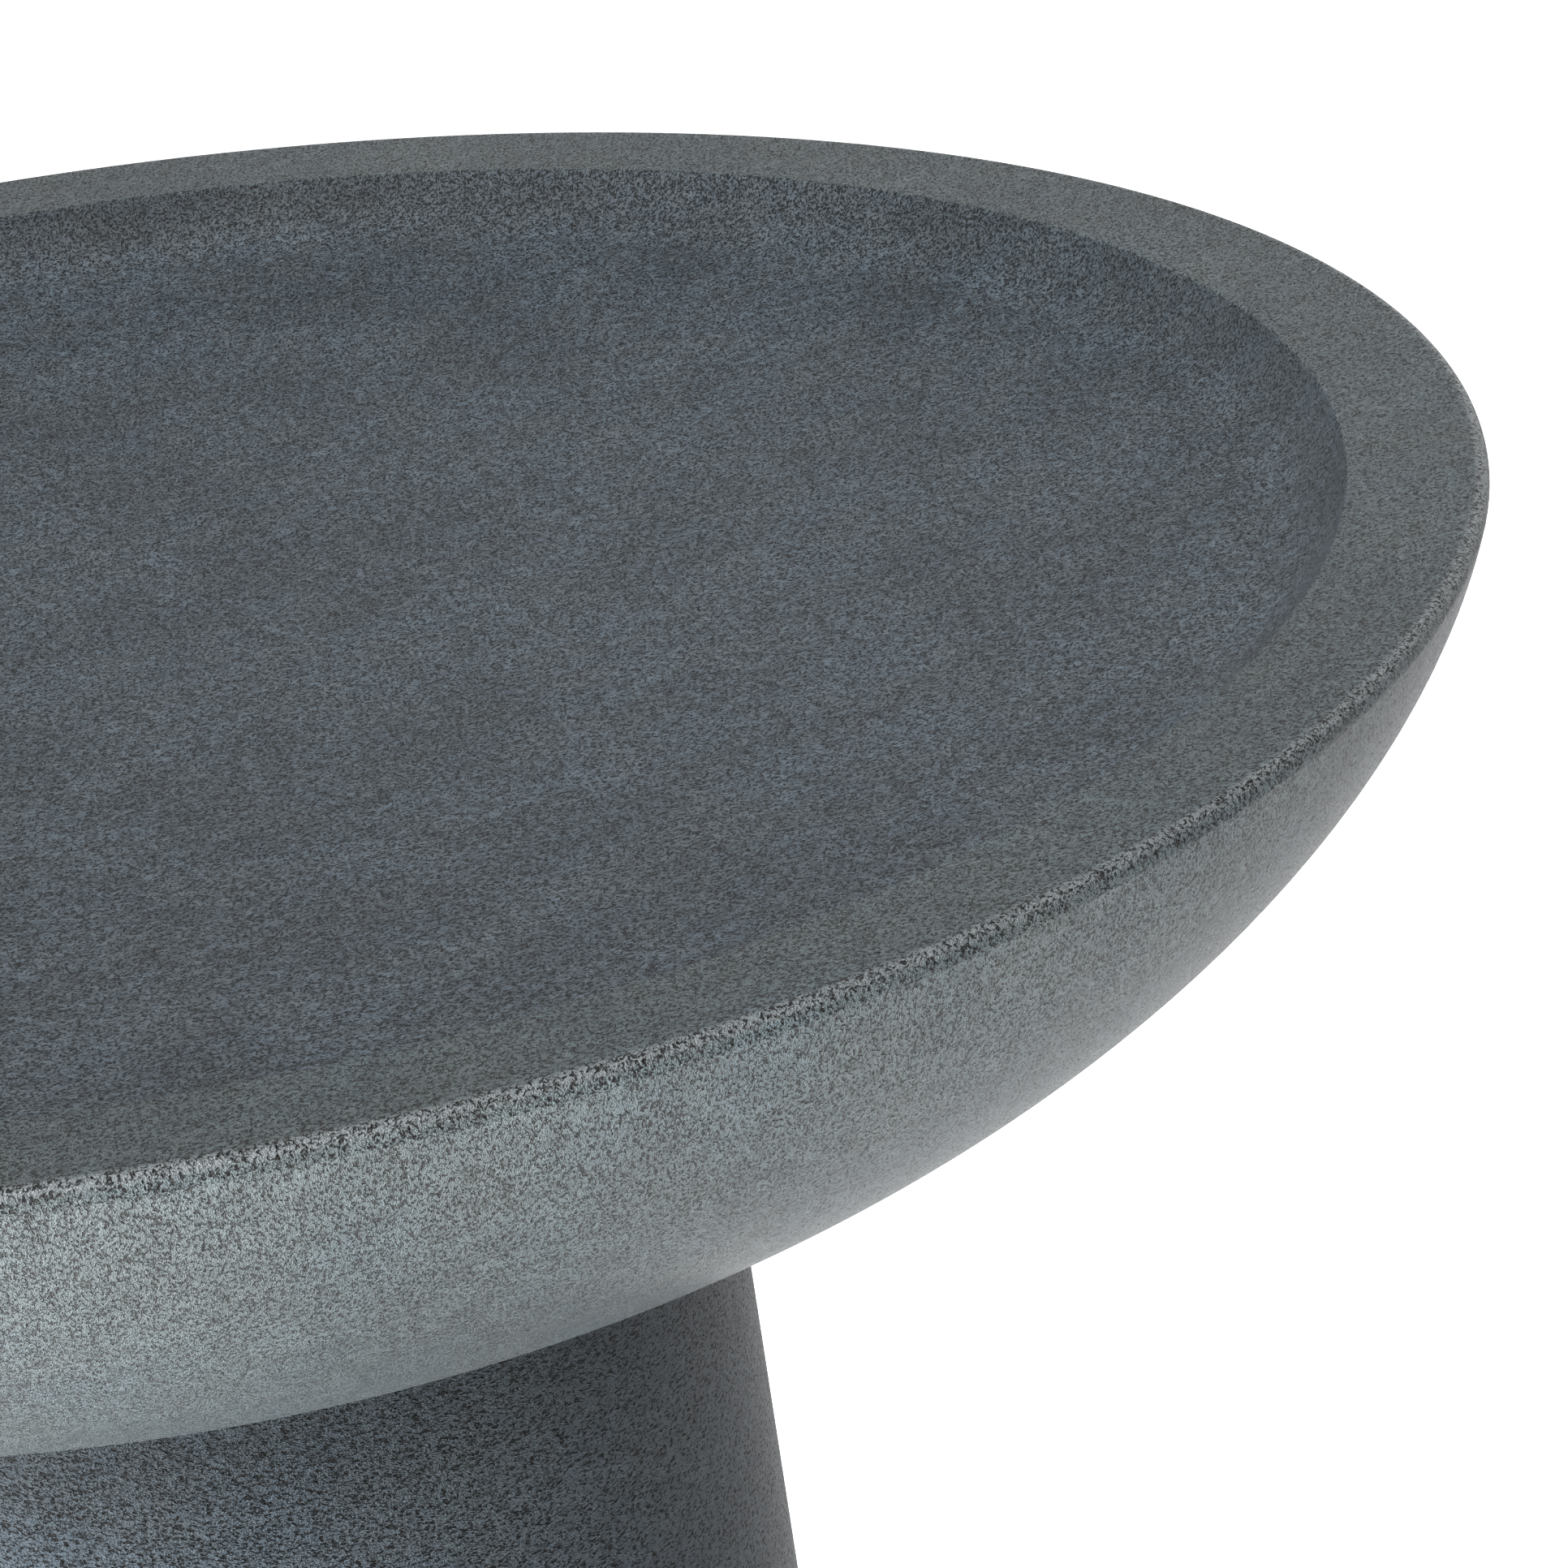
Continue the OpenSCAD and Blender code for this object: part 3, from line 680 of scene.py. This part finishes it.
# the wall's tone is lighter than the rim's and basin's, though it is the same coat: painted light for the
# bright floor in its sheen
under_stone = stone_coat(
    "bowl_wall_stone", (0.096, 0.120, 0.126), 0.0005, stretch=(1.1, 1.1, 0.7), contrast=0.85,
    relief=0.0011, rough=0.23, sheen=1.0, pits=0.022,
    wear_and_highlight=((wall_r(foot_z) * 0.001, foot_z * 0.001, 0.006, 0.25),))
finish_piece(bowl_underside, "bowl", "stone_finish", under_stone, "bowl_underside")


# ---------------------------------------------------------------- bowl foot
# Flat disc of the same resin bonded to the lip around the underside's opening; the spigot under it
# drops into the pedestal's socket, and is hollow to clear the filler cap.

spigot_low, spigot_high = millimetres("bowl_foot")
disc_r, lip_r, spigot_r, vent_r, foot_thick = 94, 98, 62, 6, 5
disc_top, spigot_roof, spigot_inner_r = foot_z + 8, spigot_high.z - foot_thick, spigot_r - foot_thick
bowl_foot = turned("bowl_foot_moulded", rounded([
    (vent_r, spigot_roof), (spigot_inner_r, spigot_roof), (spigot_inner_r, spigot_low.z),
    (spigot_r, spigot_low.z), (spigot_r, foot_z), (disc_r, foot_z), (disc_r, foot_z + foot_thick),
    (lip_r, foot_z + foot_thick), (lip_r, disc_top), (spigot_r, disc_top), (spigot_r, spigot_high.z),
    (vent_r, spigot_high.z), (vent_r, spigot_roof)], 1.5, 4)[:-1], steps=192)
finish_piece(bowl_foot, "bowl", "stone_finish", hidden_stone, "bowl_foot")


# ----------------------------------------------------------- bowl vent plug
# Black push-in breather plug, injection-moulded, pressed into the hole in the roof of the foot's
# hollow spigot so that air in the closed bowl can expand.

keep_node("bowl_vent_plug", black_plastic)


# -------------------------------------------------------------- basin shell
# Upper shell of the bowl: a broad flat rim that falls slightly inwards, a small round into the
# basin, a wide cove and a gently dished floor; same resin and coat, mottled by standing water.

rim_w, rim_fall, basin_depth, floor_r, cove_r, draft = 24.5, 3, 34, 1300, 24, 28
edge_r = (rim_z - seam_z) / (1 + sin(radians(seam_lean)))
edge = (seam_r - edge_r * cos(radians(seam_lean)), rim_z - edge_r)

# the cove's centre, from where its arc touches both the sloping side at the lip and the dished floor
lip = Vector((bowl_r - rim_w, rim_z - rim_fall))
lean = degrees(atan(rim_fall / (edge[0] - lip.x)))
floor = Vector((0, rim_z - basin_depth + floor_r))
down = Vector((-sin(radians(draft)), -cos(radians(draft))))
inward = Vector((-cos(radians(draft)), sin(radians(draft))))
start = lip + cove_r * inward - floor
half = start.dot(down)
cove = lip + (sqrt(half ** 2 - start.dot(start) + (floor_r - cove_r) ** 2) - half) * down + cove_r * inward
cove_end = degrees(atan2(cove.y - floor.y, cove.x))

# the small round between the rim and the sloping side
round_r, round_half = 1.2, radians((90 + lean + draft) / 2)
round_axis = radians((lean - 90 - draft) / 2)
lip_round = lip + round_r / sin(round_half) * Vector((cos(round_axis), sin(round_axis)))
rim_run_out = arc(edge, edge_r, 90 + lean, 90 + lean, 1)[0]
rim_run_in = arc(lip_round, round_r, 90 + lean, 90 + lean, 1)[0]
rim_run = Vector(rim_run_out) - Vector(rim_run_in)

# the rib inside the seam, which the underside is bonded to
rib_z, rib_w = seam_z - 8, 3
basin_shell = turned("basin_shell_moulded", [
    *arc(floor, floor_r, -90, cove_end, 72), *arc(cove, cove_r, cove_end, -draft, 20)[1:],
    *arc(lip_round, round_r, 180 - draft, 90 + lean, 8),
    *[(rim_run_in[0] + rim_run.x * i / 8, rim_run_in[1] + rim_run.y * i / 8) for i in range(1, 8)],
    *arc(edge, edge_r, 90 + lean, -seam_lean, 20), (seam_r - bowl_thick - 0.6, seam_z),
    wall_point(seam_z - 2, bowl_thick + 0.2),
    wall_point(rib_z, bowl_thick + 0.2), wall_point(rib_z, bowl_thick + rib_w),
    wall_point(seam_z - 3, bowl_thick + rib_w), (lip.x + bowl_thick, lip.y - bowl_thick),
    *arc(cove, cove_r + bowl_thick, -40, cove_end, 8),
    *arc(floor, floor_r + bowl_thick, cove_end, -90, 20)[1:],
], steps=288)
# the outer edge takes the wall's lighter tone and gloss (painted light) and a light line along its crest
# (painted highlight)
rim_stone = stone_coat(
    "rim_stone", (0.049, 0.063, 0.067), contrast=0.98, relief=0.0024, rough=0.36, sheen=0.62,
    painted_light_rings=((seam_r * 0.001, seam_z * 0.001, 0.0036, (0.094, 0.118, 0.124), 0.23),),
    wear_and_highlight=(((edge[0] + edge_r * 0.5) * 0.001, (edge[1] + edge_r * 0.85) * 0.001, 0.0018, 0.8),))
# the basin's tone is darker than the rim's: painted shade; darker still just below the lip: painted shade
# under the lip
basin_stone = stone_coat(
    "basin_stone", (0.036, 0.046, 0.054), contrast=0.95, relief=0.0008, rough=0.38, sheen=0.42, mottle=0.3,
    mottle_size=0.0022, cloud=0.12, dirt_and_shade=(((lip.x - 3) * 0.001, (lip.y - 5) * 0.001, 0.013, 0.35),))
finish_piece(basin_shell, "bowl", "stone_finish", rim_stone, "basin_shell")
basin_shell.data.materials.append(basin_stone)
for face in basin_shell.data.polygons:
    if hypot(face.center.x, face.center.y) * 1000 < lip.x:
        face.material_index = 1


# --------------------------------------------------------------------- room
# Plain pale floor, soft boxes around the object, and the camera.

bpy.ops.object.select_all(action="DESELECT")
bpy.ops.mesh.primitive_plane_add(size=12, location=(0, 0, 0))
floor_sheet = bpy.context.object
floor_sheet.name = "pale_floor"
pale, tree, shader, place = blank_material("pale_floor")
shader.inputs["Base Color"].default_value = (0.86, 0.86, 0.86, 1)
shader.inputs["Roughness"].default_value = 0.9
shader.inputs["Emission Color"].default_value = (1, 1, 1, 1)
seen = tree.nodes.new("ShaderNodeLightPath").outputs["Is Camera Ray"]
tree.links.new(calc(tree, "MULTIPLY", seen, 1.0), shader.inputs["Emission Strength"])
floor_sheet.data.materials.append(pale)


def softbox(name, place, aim, width, depth, power):
    """A rectangular area light aimed at a point."""
    light = bpy.data.lights.new(name, "AREA")
    light.shape, light.size, light.size_y, light.energy = "RECTANGLE", width, depth, power
    lamp = bpy.data.objects.new(name, light)
    bpy.context.scene.collection.objects.link(lamp)
    lamp.location = place
    lamp.rotation_euler = (Vector(aim) - Vector(place)).to_track_quat("-Z", "Y").to_euler()
    return lamp


softbox("overhead_box", (0.0, 0.3, 2.4), (0, 0, 0.5), 2.2, 2.2, 41)
softbox("high_left_box", (-1.5, 0.2, 1.9), (0, 0, 0.5), 1.4, 1.4, 7)
softbox("high_front_box", (0.0, -1.6, 2.1), (0, 0, 0.5), 1.4, 1.2, 13)
softbox("left_box", (-2.0, 0.0, 0.8), (0, 0, 0.5), 1.2, 1.4, 29)
softbox("left_front_box", (-1.8, -1.0, 0.7), (0, 0, 0.5), 1.0, 1.2, 41)
softbox("front_left_box", (-1.0, -1.9, 0.6), (0, 0, 0.45), 1.0, 1.0, 12)
softbox("back_right_box", (1.6, 1.7, 0.8), (0, 0, 0.5), 1.2, 1.4, 6)
softbox("back_box", (0.2, 2.3, 0.8), (0, 0, 0.5), 1.6, 1.2, 5)
softbox("floor_box_left", (-0.85, 0.0, 0.45), (-0.85, 0.0, 0), 0.5, 0.5, 4)
softbox("floor_box_far_left", (-1.3, -1.2, 0.45), (-1.3, -1.2, 0), 0.5, 0.5, 4)
softbox("floor_box_front", (0.1, -1.6, 0.45), (0.1, -1.6, 0), 0.5, 0.5, 3)

room = bpy.data.worlds.new("room")
room.use_nodes = True
bpy.context.scene.world = room
backdrop = room.node_tree.nodes["Background"]
backdrop.inputs["Color"].default_value = (1, 1, 1, 1)
seen = room.node_tree.nodes.new("ShaderNodeLightPath").outputs["Is Camera Ray"]
room.node_tree.links.new(span(room.node_tree, seen, 0.0, 1.0, 0.03, 1.0), backdrop.inputs["Strength"])
bpy.context.scene.view_settings.view_transform = "Standard"

lens = bpy.data.cameras.new("camera")
lens.sensor_width, lens.lens = 36, 80.50
camera = bpy.data.objects.new("camera", lens)
bpy.context.scene.collection.objects.link(camera)
camera.location = (0, -0.64562, 0.83541)
heading, tilt, roll = -0.1868, pi / 2 - 0.441, -0.0974
aimed = Matrix.Rotation(heading, 3, "Z") @ Matrix.Rotation(tilt, 3, "X") @ Matrix.Rotation(roll, 3, "Z")
camera.rotation_euler = aimed.to_euler()
bpy.context.scene.camera = camera
